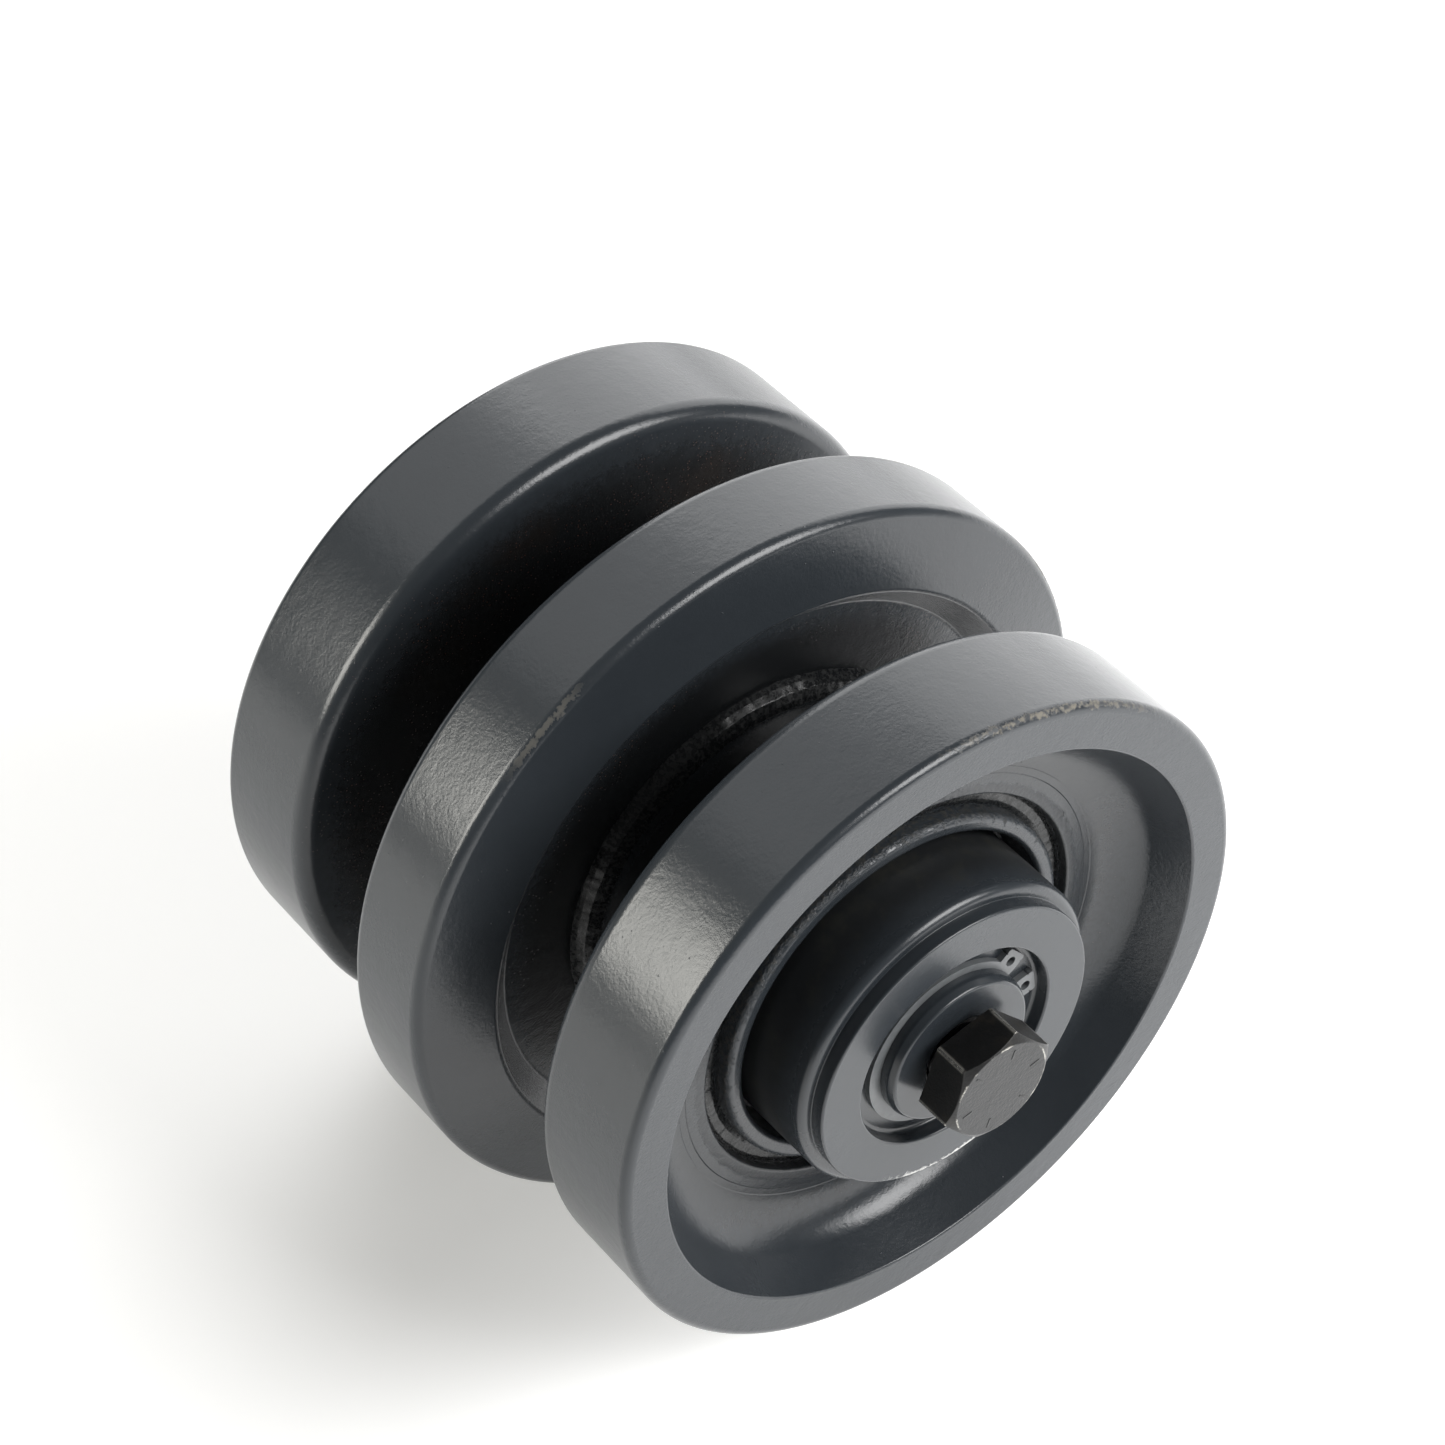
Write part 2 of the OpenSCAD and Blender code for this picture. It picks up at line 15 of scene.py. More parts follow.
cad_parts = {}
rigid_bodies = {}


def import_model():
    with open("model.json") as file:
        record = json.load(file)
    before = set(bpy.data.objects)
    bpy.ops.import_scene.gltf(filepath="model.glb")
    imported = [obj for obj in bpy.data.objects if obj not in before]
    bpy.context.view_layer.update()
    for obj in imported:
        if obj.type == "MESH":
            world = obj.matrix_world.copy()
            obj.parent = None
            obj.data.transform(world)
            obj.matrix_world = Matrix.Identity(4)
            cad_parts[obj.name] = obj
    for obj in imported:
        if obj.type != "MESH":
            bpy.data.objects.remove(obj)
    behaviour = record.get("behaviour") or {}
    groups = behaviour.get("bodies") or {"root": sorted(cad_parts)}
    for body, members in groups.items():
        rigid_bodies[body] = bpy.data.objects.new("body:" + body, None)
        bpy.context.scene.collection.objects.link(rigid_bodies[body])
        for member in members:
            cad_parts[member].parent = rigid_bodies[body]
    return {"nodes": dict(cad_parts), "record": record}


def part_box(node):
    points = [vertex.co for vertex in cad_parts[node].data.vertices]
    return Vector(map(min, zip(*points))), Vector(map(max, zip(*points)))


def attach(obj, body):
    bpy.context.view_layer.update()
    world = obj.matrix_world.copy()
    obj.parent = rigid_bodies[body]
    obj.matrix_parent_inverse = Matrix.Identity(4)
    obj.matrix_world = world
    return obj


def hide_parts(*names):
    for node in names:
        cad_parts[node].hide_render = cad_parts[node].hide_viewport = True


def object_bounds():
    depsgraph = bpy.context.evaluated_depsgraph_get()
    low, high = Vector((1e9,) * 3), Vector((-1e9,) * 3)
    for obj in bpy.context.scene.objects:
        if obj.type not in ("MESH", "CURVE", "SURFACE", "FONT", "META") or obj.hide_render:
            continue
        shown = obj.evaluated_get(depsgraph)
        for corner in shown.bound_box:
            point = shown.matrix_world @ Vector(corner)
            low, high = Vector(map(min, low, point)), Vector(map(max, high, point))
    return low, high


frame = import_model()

cad_box = [list(corner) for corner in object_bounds()]
print("nodes in the frame:", len(frame["nodes"]), "box:", cad_box)

# %% [markdown]
# ## Sizes
# The axle lies along Y, so a turned piece is described by radii and by places along Y, in millimetres.
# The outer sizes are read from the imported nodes. The smaller ones, such as a groove inside a wheel, are named
# here.

# %% Read the outer sizes
MM = 0.001


def outer(node):
    """Largest radius of a node and its two places along the axle, in millimetres."""
    low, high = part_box(node)
    return round(high[2] / MM, 3), round(low[1] / MM, 3), round(high[1] / MM, 3)


tread_r, wheel_back, rim_face = outer("wheel_right")
flange_r, _, flange_lip = outer("centre_flange")
hub_r, _, hub_lip = outer("hub")
collar_r, collar_inner, collar_face = outer("collar_right")
journal_r, _, shaft_face = outer("shaft")
bolt_top = outer("hex_bolts")[2]
_, _, clip_face = outer("circlips")
weld_top = outer("wheel_weld_right")[2]
flange_weld_r, flange_web, flange_weld_top = outer("flange_weld_right")
print("treads", tread_r, "flange", flange_r, "hub", hub_r, "collar", collar_r, "bolt top", bolt_top)

# %% Name the smaller sizes
dish_depth = 20.0
groove_depth = 6.0
rim_t = 13.5
web_face = rim_face - dish_depth
groove_floor = web_face - groove_depth
groove_r = hub_r + 5.4
mouth_r = tread_r - rim_t
land_r = collar_r - 3.5
land_step = 4.2
recess_r = 30.7
recess_floor = 91.75
shaft_r = 22.5
packing_r, packing_low, packing_high = 20.2, 74.5, 78.1
clip_groove_r = 21.25
journal_end = 50.2
lip_bore_r = hub_r - 5.0
pocket_r, pocket_mouth_r, pocket_depth = 38.47, 40.78, 7.0
sleeve_r = 30.5
oil_r, plug_r, plug_base = 4.0, 6.0, 43.4
bolt_r = 10.0
hole_bottom = 53.4
head_h = 12.5
bolt_len = 45.0
across_flats = 30.0
bolt_turn = 12.0
flange_recess_r = flange_r - 28.8
flange_lip_r = flange_recess_r + 7.1
print("web of the dish at", web_face, "mouth radius", mouth_r, "recess", recess_r)

# %% [markdown]
# ## A way to turn pieces
# Almost every part was turned on a lathe. A spline with a Screw modifier would do, and so would cylinders with
# bevelled edges, but a drawn outline spun about the axle keeps each radius exact and gives clean rings of faces.
# A circle of as many points as the outline has corners is added, each point is laid on its corner, the corners
# that are round get a vertex bevel, and the outline is spun. Weighted normals keep the flat faces evenly lit.

# %% Helpers for picking, joining and finishing
def pick_nothing():
    """Leaves edit mode and deselects everything."""
    if bpy.context.object and bpy.context.object.mode != "OBJECT":
        bpy.ops.object.mode_set(mode="OBJECT")
    bpy.ops.object.select_all(action="DESELECT")


def pick(*pieces):
    """Selects these pieces, and makes the first one active."""
    pick_nothing()
    for piece in pieces:
        piece.select_set(True)
    bpy.context.view_layer.objects.active = pieces[0]


def add_modifier(piece, kind, **values):
    """Adds one modifier with its values and applies it."""
    pick(piece)
    modifier = piece.modifiers.new(kind.lower(), kind)
    for key, value in values.items():
        setattr(modifier, key, value)
    bpy.ops.object.modifier_apply(modifier=modifier.name)


def settle(piece, angle=32.0):
    """Places the piece's shape in its mesh, smooths it up to an angle, and evens out its normals."""
    pick(piece)
    bpy.ops.object.transform_apply(location=True, rotation=True, scale=True)
    bpy.ops.object.shade_smooth_by_angle(angle=math.radians(angle))
    add_modifier(piece, "WEIGHTED_NORMAL", weight=90, keep_sharp=True)
    return piece


# %% Turn an outline about the axle
def turn(name, outline, steps=256, solid=False, arc=10):
    """Spins corners of (radius, place, rounding), in millimetres, about the axle.

    With solid, both ends of the outline lie on the axle, and the edge between them is left out.
    """
    pick_nothing()
    bpy.ops.mesh.primitive_circle_add(vertices=len(outline), radius=0.01, fill_type="NOTHING")
    piece = bpy.context.object
    piece.name = name
    corners = [Vector((c[0] * MM, c[1] * MM, 0)) for c in outline]
    for vertex, corner in zip(piece.data.vertices, corners):
        vertex.co = corner
    bpy.ops.object.mode_set(mode="EDIT")
    for i, corner in enumerate(outline):
        rounding = corner[2] * MM if len(corner) > 2 else 0
        if rounding <= 0:
            continue
        before = (corners[i - 1] - corners[i]).normalized()
        after = (corners[(i + 1) % len(corners)] - corners[i]).normalized()
        reach = rounding / math.tan(before.angle(after) / 2)
        mesh = bmesh.from_edit_mesh(piece.data)
        for vertex in mesh.verts:
            vertex.select = (vertex.co - corners[i]).length < 1e-6
        mesh.select_flush_mode()
        bmesh.update_edit_mesh(piece.data)
        bpy.ops.mesh.bevel(affect="VERTICES", offset=reach, offset_type="OFFSET", segments=arc)
    if solid:
        mesh = bmesh.from_edit_mesh(piece.data)
        for edge in mesh.edges:
            edge.select = all(abs(v.co.x) < 1e-7 for v in edge.verts)
        bmesh.update_edit_mesh(piece.data)
        bpy.ops.mesh.delete(type="EDGE")
    bpy.ops.mesh.select_all(action="SELECT")
    bpy.ops.mesh.spin(steps=steps, angle=2 * math.pi, center=(0, 0, 0), axis=(0, 1, 0))
    bpy.ops.mesh.select_all(action="SELECT")
    bpy.ops.mesh.remove_doubles(threshold=1e-6)
    bpy.ops.mesh.normals_make_consistent(inside=False)
    bpy.ops.object.mode_set(mode="OBJECT")
    print(name, len(piece.data.polygons), "faces")
    return piece


# %% Copy a finished piece to the other end
def other_end(piece, name):
    """A mirrored copy with its own mesh, for the left end of the axle."""
    copy = piece.copy()
    copy.data = piece.data.copy()
    copy.name = name
    bpy.context.collection.objects.link(copy)
    copy.data.transform(Matrix.Scale(-1, 4, (0, 1, 0)))
    pick(copy)
    bpy.ops.object.mode_set(mode="EDIT")
    bpy.ops.mesh.select_all(action="SELECT")
    bpy.ops.mesh.normals_make_consistent(inside=False)
    bpy.ops.object.mode_set(mode="OBJECT")
    return settle(copy)


def place(piece, body, node):
    """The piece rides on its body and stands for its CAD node."""
    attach(piece, body)
    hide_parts(node)
    return piece


# %% [markdown]
# ## Dished wheels
# Each outer wheel is a forging turned all over: a flat tread, a rim with a rounded nose, and a dish whose wall
# sweeps down to a web around the hub. The web keeps two faint steps from the turning tool. A subdivided cylinder
# could be pushed into this shape, but the spun outline keeps the long sweep of the wall true.

# %% Turn the wheels
sweep_r = 14.0
sweep_in, sweep_up = 17.5, dish_depth - sweep_r
wall_far = math.hypot(sweep_in, sweep_up)
wall_lean = math.atan2(sweep_up, sweep_in) - math.acos(sweep_r / wall_far)
wall_foot = (mouth_r - sweep_in + sweep_r * math.cos(wall_lean),
             web_face + sweep_r + sweep_r * math.sin(wall_lean))
wall_slope = (mouth_r - wall_foot[0]) / (rim_face - wall_foot[1])
dish_corner = wall_foot[0] - (wall_foot[1] - web_face) * wall_slope
wheel_outline = [
    (hub_r, wheel_back), (tread_r, wheel_back, 5.0), (tread_r, rim_face, 2.8), (mouth_r, rim_face, 0.8),
    (dish_corner, web_face, sweep_r), (68.35, web_face, 0.1), (68.1, web_face - 0.15, 0.1),
    (66.2, web_face - 0.12, 0.1), (65.9, web_face + 0.02, 0.1), (groove_r, web_face + 0.45, 0.9),
    (groove_r - 0.5, groove_floor, 0.8), (hub_r, groove_floor)]
wheel_right = settle(turn("wheel_right_turned", wheel_outline, steps=320, arc=12))
wheel_left = other_end(wheel_right, "wheel_left_turned")
place(wheel_right, "roller", "wheel_right")
place(wheel_left, "roller", "wheel_left")

# %% [markdown]
# ## Centre flange
# The middle tread stands taller and runs between the guide lugs of the track. Its sides are drafted, as on a
# forging, down to a rounded lip, and the web behind the lip is recessed to save weight.

# %% Turn the centre flange
flange_nose_r = 3.4
draft = 4.0 / (flange_r - flange_nose_r - flange_lip_r)
flange_edge = flange_lip - draft * (flange_r - flange_lip_r)
half_flange = [(flange_r, flange_edge, flange_nose_r), (flange_lip_r, flange_lip + 0.55, 1.7),
               (flange_recess_r, flange_web, 1.6), (hub_r, flange_web)]
flange_outline = half_flange + [(c[0], -c[1]) + tuple(c[2:]) for c in reversed(half_flange)]
flange = settle(turn("centre_flange_turned", flange_outline, steps=336, arc=12))
place(flange, "roller", "centre_flange")

# %% [markdown]
# ## Hub
# The hub is a thick tube. Its outside shows between the wheels, and its lips show inside the dishes. The bores
# for the bushings, the oil space and the seal pockets are kept, so the piece is right when others are hidden.

# %% Turn the hub
pocket_top = hub_lip - 14.5
pocket_floor = pocket_top - pocket_depth
bush_step = pocket_floor - 4.0
bush_flange_r, bush_r, oil_space_r, oil_space_end = 36.0, 32.0, 39.0, 18.0
half_hub = [(hub_r, hub_lip, 1.9), (lip_bore_r, hub_lip, 1.9), (lip_bore_r, pocket_top, 0.6),
            (pocket_mouth_r, pocket_top, 0.4), (pocket_r, pocket_floor, 0.4), (bush_flange_r, pocket_floor),
            (bush_flange_r, bush_step), (bush_r, bush_step), (bush_r, oil_space_end),
            (oil_space_r, oil_space_end)]
hub_outline = half_hub + [(c[0], -c[1]) + tuple(c[2:]) for c in reversed(half_hub)]
hub = settle(turn("hub_turned", hub_outline, steps=256, arc=10))
place(hub, "roller", "hub")

# %% [markdown]
# ## Weld beads
# Arc welding leaves a bead with fine ripples, one for each pause of the torch. Each bead is turned as a plain
# band of many faces, then every point is moved along its normal by ripples that lag in the middle of the bead,
# and by soft lumps. Bump alone would not show at the bead's outline.

# %% Turn a bead and ripple it
def weld_bead(name, outline, ripples, depth):
    """A rippled weld bead from the outline of a plain one."""
    bead = turn(name, outline, steps=ripples * 6, arc=6)
    pick(bead)
    bpy.ops.object.mode_set(mode="EDIT")
    bpy.ops.mesh.select_all(action="SELECT")
    bpy.ops.mesh.normals_make_consistent(inside=False)
    bpy.ops.object.mode_set(mode="OBJECT")
    middle = sum(c[0] + c[1] for c in outline) / len(outline) * MM
    normals = [v.normal.copy() for v in bead.data.vertices]
    for vertex, normal in zip(bead.data.vertices, normals):
        x, y, z = vertex.co
        lag = ((math.hypot(x, z) + abs(y) - middle) / (4 * MM)) ** 2
        turned = math.atan2(z, x) * ripples - lag * 3.0
        turned += 2.6 * noise.noise(vertex.co * 90.0)
        lump = noise.noise(vertex.co * 210.0) * 0.9 + noise.noise(vertex.co * 900.0) * 0.3
        ripple = (0.5 + 0.5 * math.cos(turned)) ** 0.6 - 0.5
        vertex.co += normal * depth * MM * (ripple * 0.32 + lump)
    return settle(bead, angle=60.0)


groove_bead = [
    (groove_r - 0.1, groove_floor - 0.5), (groove_r - 0.1, groove_floor + 2.3, 0.4),
    (groove_r - 1.6, weld_top, 0.8), (hub_r + 1.6, weld_top, 0.8),
    (hub_r - 0.3, groove_floor + 2.3, 0.4), (hub_r - 0.3, groove_floor - 0.5)]
fillet_bead = [
    (hub_r - 0.4, flange_web - 0.4), (flange_weld_r, flange_web - 0.4), (flange_weld_r, flange_web + 0.2, 0.2),
    (hub_r + 4.6, flange_web + 1.6, 1.2), (hub_r + 3.4, flange_web + 3.4, 1.2),
    (hub_r + 1.5, flange_web + 4.7, 1.2), (hub_r + 0.2, flange_weld_top, 0.2),
    (hub_r - 0.4, flange_weld_top)]
beads = [("wheel_weld", groove_bead, 110, 0.3), ("flange_weld", fillet_bead, 96, 0.32)]
for bead_name, bead_outline, ripples, depth in beads:
    bead_right = weld_bead(bead_name + "_right_rippled", bead_outline, ripples, depth)
    bead_left = other_end(bead_right, bead_name + "_left_rippled")
    place(bead_right, "roller", bead_name + "_right")
    place(bead_left, "roller", bead_name + "_left")

# %% [markdown]
# ## Collars
# A collar closes each end of the hub and rests in the track frame. It has a long barrel with a rounded end, a
# smaller land with a flat end face, a recess for the circlip, and a pocket for the fixed half of the seal.

# %% Turn the collars
barrel_inner, shoulder = 61.5, collar_face - land_step
seal_floor = barrel_inner + pocket_depth
bore_r = shaft_r + 0.02
collar_outline = [
    (bore_r, collar_inner), (sleeve_r, collar_inner, 0.4), (sleeve_r, seal_floor), (pocket_r, seal_floor, 0.4),
    (pocket_mouth_r, barrel_inner), (collar_r, barrel_inner, 1.0), (collar_r, shoulder, 2.6),
    (land_r, shoulder, 0.25), (land_r, collar_face, 0.7), (recess_r, collar_face, 0.7),
    (recess_r, recess_floor, 1.4), (bore_r, recess_floor)]
collar_right = settle(turn("collar_right_turned", collar_outline, steps=256, arc=10))
collar_left = other_end(collar_right, "collar_left_turned")
place(collar_right, "axle", "collar_right")
place(collar_left, "axle", "collar_left")

# %% [markdown]
# ## Shaft
# The shaft has a journal in the middle, grooves for the circlips and packing rings, and a tapped hole in each
# end. An oil drilling runs from one tapped hole to the journal. The outline is spun, then a cylinder cuts the
# cross drilling with a Boolean modifier, as a drill would.

# %% Turn and drill the shaft
def shaft_end(turned_side):
    """Outline of one end, from the journal's edge to the tapped hole's mouth."""
    clip_groove_end = clip_face + 0.1
    corners = [(journal_r, journal_end, 0.6), (shaft_r, journal_end, 0.3), (shaft_r, packing_low),
               (packing_r, packing_low), (packing_r, packing_high), (shaft_r, packing_high),
               (shaft_r, recess_floor), (clip_groove_r, recess_floor), (clip_groove_r, clip_groove_end),
               (shaft_r, clip_groove_end), (shaft_r, shaft_face - 2.2, 1.6),
               (shaft_r - 0.9, shaft_face, 0.9), (bolt_r + 1.5, shaft_face, 0.2),
               (bolt_r, shaft_face - 1.5, 0.2)]
    return [(c[0], turned_side * c[1]) + tuple(c[2:]) for c in corners]


left_hole = [(bolt_r, -hole_bottom, 0.3), (0.0, -hole_bottom)]
right_hole = [(0.0, 0.0), (oil_r, 0.0), (oil_r, plug_base), (plug_r, plug_base), (plug_r, hole_bottom),
              (bolt_r, hole_bottom, 0.3)]
shaft_outline = right_hole + shaft_end(1)[::-1] + shaft_end(-1) + left_hole
shaft = turn("shaft_turned", shaft_outline, steps=192, solid=True, arc=8)
pick_nothing()
drill_len = 28.5 * MM
bpy.ops.mesh.primitive_cylinder_add(vertices=48, radius=oil_r * MM, depth=drill_len,
                                    location=(0, 0, drill_len / 2))
drill = bpy.context.object
add_modifier(shaft, "BOOLEAN", object=drill, operation="DIFFERENCE", solver="EXACT")
bpy.data.objects.remove(drill)
place(settle(shaft), "axle", "shaft")

# %% [markdown]
# ## Bolts
# A hexagon head is a six-sided bar whose top corners were turned off by a cone, so each flat ends in a curve.
# The head is a six-sided cylinder cut by a spun cone with a Boolean, then its edges get a small bevel. The
# thread is one V drawn on the shank and run up it with a Screw modifier. Six plain strokes stand on the head.

# %% Shape the bolt head
head_base = bolt_top - head_h
head_corner_r = across_flats / 2 / math.cos(math.radians(30))
pick_nothing()
bpy.ops.mesh.primitive_cylinder_add(vertices=6, radius=head_corner_r * MM, depth=11.9 * MM,
                                    location=(0, (bolt_top - 6.07) * MM, 0), rotation=(math.pi / 2, 0, 0))
head = bpy.context.object
head.name = "bolt_right_forged"
bpy.ops.object.transform_apply(location=True, rotation=True, scale=True)
head.data.transform(Matrix.Rotation(math.radians(30.0 - bolt_turn), 4, "Y"))
head_top = bolt_top - 0.12
cone_outline = [(0, head_base), (19.0, head_base), (19.0, bolt_top - 3.02), (14.55, head_top), (0, head_top)]
cone = turn("head_cone", cone_outline, steps=144, solid=True)
add_modifier(head, "BOOLEAN", object=cone, operation="INTERSECT", solver="EXACT")
bpy.data.objects.remove(cone)
add_modifier(head, "BEVEL", width=0.28 * MM, segments=3, limit_method="ANGLE", angle_limit=math.radians(20))
print("head", len(head.data.polygons), "faces")

# %% Run the thread up the shank
thread_bottom = head_base - bolt_len
pitch = 2.5
pick_nothing()
bpy.ops.mesh.primitive_circle_add(vertices=5, radius=0.01, fill_type="NOTHING")
thread = bpy.context.object
thread_points = [(8.55, 0.0), (9.92, 1.05), (9.92, 1.35), (8.55, 2.4), (8.55, pitch)]
for vertex, (radius, along) in zip(thread.data.vertices, thread_points):
    vertex.co = (radius * MM, (thread_bottom + 1.0 + along) * MM, 0)
bpy.ops.object.mode_set(mode="EDIT")
outline_mesh = bmesh.from_edit_mesh(thread.data)
for edge in outline_mesh.edges:
    edge.select = abs(edge.verts[0].co.y - edge.verts[1].co.y) > 2.4 * MM
bmesh.update_edit_mesh(thread.data)
bpy.ops.mesh.delete(type="EDGE")
bpy.ops.object.mode_set(mode="OBJECT")
add_modifier(thread, "SCREW", axis="Y", steps=40, render_steps=40, screw_offset=pitch * MM, iterations=17,
             use_merge_vertices=True, merge_threshold=1e-6)
core_r, washer_r, washer_top = 8.6, 14.4, head_base + 0.9
shank_outline = [
    (0, thread_bottom), (8.2, thread_bottom, 0.3), (8.9, thread_bottom + 1.4), (core_r, thread_bottom + 2.0),
    (core_r, head_base - 0.3), (9.6, head_base, 0.2), (washer_r, head_base, 0.2),
    (washer_r, washer_top), (0, washer_top)]
shank = turn("shank", shank_outline, steps=96, solid=True)

# %% Stand six plain strokes on the head
strokes = []
for k in range(6):
    pick_nothing()
    bpy.ops.mesh.primitive_cube_add(size=1.0, location=(11.2 * MM, head_top * MM, 0))
    stroke = bpy.context.object
    stroke.scale = (3.0 * MM, 0.24 * MM, 0.7 * MM)
    bpy.ops.object.transform_apply(location=True, rotation=True, scale=True)
    add_modifier(stroke, "BEVEL", width=0.1 * MM, segments=2)
    stroke.data.transform(Matrix.Rotation(math.radians(60.0 * k - bolt_turn), 4, "Y"))
    strokes.append(stroke)
pick(head, thread, shank, *strokes)
bpy.ops.object.join()
bolt_right = settle(bpy.context.object, angle=28.0)
bolt_left = other_end(bolt_right, "bolt_left_forged")
place(bolt_right, "axle", "hex_bolts")
place(bolt_left, "axle", "hex_bolts")

# %% [markdown]
# ## Circlips
# A circlip is stamped from spring steel and holds a collar on the shaft. Its outline, with the tapering band
# and the two drilled lugs, is already right in the frame, so a copy of that mesh is taken, its loose triangles
# are merged, and its sharp stamped edges are softened so that they catch light.

# %% Copy the circlips and soften them
clips = frame["nodes"]["circlips"].copy()
clips.data = frame["nodes"]["circlips"].data.copy()
clips.name = "circlips_stamped"
bpy.context.collection.objects.link(clips)
clips.parent = None
pick(clips)
bpy.ops.object.mode_set(mode="EDIT")
bpy.ops.mesh.select_all(action="SELECT")
bpy.ops.mesh.remove_doubles(threshold=2e-6)
bpy.ops.mesh.dissolve_limited(angle_limit=math.radians(1.0))
bpy.ops.mesh.normals_make_consistent(inside=False)
bpy.ops.object.mode_set(mode="OBJECT")
add_modifier(clips, "BEVEL", width=0.18 * MM, segments=2, limit_method="ANGLE", angle_limit=math.radians(40))
place(settle(clips), "axle", "circlips")
print("circlips", len(clips.data.polygons), "faces")

# %% [markdown]
# ## Shared effects
# Paint, wear, rust and painted shade are worked out from the place on the piece, so they need no unwrapping.
# Each effect that more than one material uses is a node group, built once. A group only puts out masks and
# heights that change over the surface, and each material mixes them with its own colours.

# %% Helpers for node trees
def put(tree, kind, settings=None, **inputs):
    """Adds one shader node.

    An input is a value or another node's output, and i0, i1 count inputs of the same name.
    """
    made = tree.nodes.new("ShaderNode" + kind)
    for key, value in (settings or {}).items():
        setattr(made, key, value)
    for key, value in inputs.items():
        counted = key[0] == "i" and key[1:].isdigit()
        socket = made.inputs[int(key[1:]) if counted else key.replace("_", " ")]
        if isinstance(value, bpy.types.NodeSocket):
            tree.links.new(value, socket)
        else:
            socket.default_value = value
    return made


def new_group(name, inputs, outputs):
    """An empty node group with float or vector inputs and float outputs."""
    group = bpy.data.node_groups.new(name, "ShaderNodeTree")
    for title, default in inputs.items():
        kind = "NodeSocketFloat" if isinstance(default, float) else "NodeSocketVector"
        socket = group.interface.new_socket(title, in_out="INPUT", socket_type=kind)
        if isinstance(default, float):
            socket.default_value = default
    for title in outputs:
        group.interface.new_socket(title, in_out="OUTPUT", socket_type="NodeSocketFloat")
    return group, group.nodes.new("NodeGroupInput").outputs, group.nodes.new("NodeGroupOutput").inputs


def math_node(tree, operation, a, b=0.0):
    """One sum, product or comparison of two values."""
    return put(tree, "Math", {"operation": operation}, i0=a, i1=b).outputs[0]


def ramp(tree, value, start, end, low=0.0, high=1.0):
    """A smooth step of a value between two limits."""
    made = put(tree, "MapRange", {"interpolation_type": "SMOOTHSTEP"}, Value=value)
    for socket, number in zip(("From Min", "From Max", "To Min", "To Max"), (start, end, low, high)):
        if isinstance(number, bpy.types.NodeSocket):
            tree.links.new(number, made.inputs[socket])
        else:
            made.inputs[socket].default_value = number
    return made.outputs[0]


def grain(tree, vector, scale, detail=2.0, roughness=0.5):
    """A noise value around one half."""
    return put(tree, "TexNoise", Vector=vector, Scale=scale, Detail=detail, Roughness=roughness).outputs[0]


def radius_and_place(tree, vector):
    """Distance from the axle, distance from the middle of it, and the place along it."""
    parts = put(tree, "SeparateXYZ", i0=vector).outputs
    flat = put(tree, "CombineXYZ", X=parts[0], Z=parts[2]).outputs[0]
    radius = put(tree, "VectorMath", {"operation": "LENGTH"}, i0=flat).outputs["Value"]
    return radius, math_node(tree, "ABSOLUTE", parts[1]), parts[1]


# %% Group: paint skin
skin, given, out = new_group("paint_skin", {"Vector": (0, 0, 0), "Peel": 1.0}, ["Height", "Cloud"])
peel = grain(skin, given["Vector"], 1100.0, 3.0, 0.6)
wave = grain(skin, given["Vector"], 260.0, 2.0)
nib_field = put(skin, "TexVoronoi", {"feature": "F1"}, Vector=given["Vector"], Scale=330.0)
nib_dots = ramp(skin, nib_field.outputs["Distance"], 0.10, 0.03)
nibs = math_node(skin, "MULTIPLY", nib_dots, ramp(skin, grain(skin, given["Vector"], 55.0), 0.50, 0.64))
height = math_node(skin, "ADD", math_node(skin, "MULTIPLY", peel, 0.6), math_node(skin, "MULTIPLY", wave, 0.8))
height = math_node(skin, "MULTIPLY", height, given["Peel"])
skin.links.new(math_node(skin, "ADD", height, math_node(skin, "MULTIPLY", nibs, 0.8)), out["Height"])
skin.links.new(grain(skin, given["Vector"], 24.0, 5.0, 0.6), out["Cloud"])

# %% Group: wear and painted shade along a ring
ring_inputs = {"Vector": (0, 0, 0), "Radius": 0.1, "Place": 0.05, "Reach": 0.002, "Breakup": 1.0}
ring_wear, given, out = new_group("ring_wear", ring_inputs, ["Mask"])
radius, place_along, _ = radius_and_place(ring_wear, given["Vector"])
off_radius = math_node(ring_wear, "SUBTRACT", radius, given["Radius"])
off_place = math_node(ring_wear, "SUBTRACT", place_along, given["Place"])
away = put(ring_wear, "VectorMath", {"operation": "LENGTH"},
           i0=put(ring_wear, "CombineXYZ", X=off_radius, Y=off_place).outputs[0]).outputs["Value"]
ragged = math_node(ring_wear, "SUBTRACT", grain(ring_wear, given["Vector"], 420.0, 5.0, 0.7), 0.5)
ragged = math_node(ring_wear, "MULTIPLY", ragged, given["Reach"])
ragged = math_node(ring_wear, "MULTIPLY", ragged, given["Breakup"])
away = math_node(ring_wear, "ADD", away, math_node(ring_wear, "MULTIPLY", ragged, 3.0))
wear_and_shade_core = math_node(ring_wear, "MULTIPLY", given["Reach"], 0.35)
ring_wear.links.new(ramp(ring_wear, away, given["Reach"], wear_and_shade_core), out["Mask"])

# %% Group: a patch around one point
patch, given, out = new_group("patch", {"Vector": (0, 0, 0), "Centre": (0, 0, 0), "Size": 0.02}, ["Mask"])
gap = put(patch, "VectorMath", {"operation": "DISTANCE"}, i0=given["Vector"], i1=given["Centre"])
gap = gap.outputs["Value"]
patch.links.new(ramp(patch, gap, given["Size"], math_node(patch, "MULTIPLY", given["Size"], 0.3)), out["Mask"])

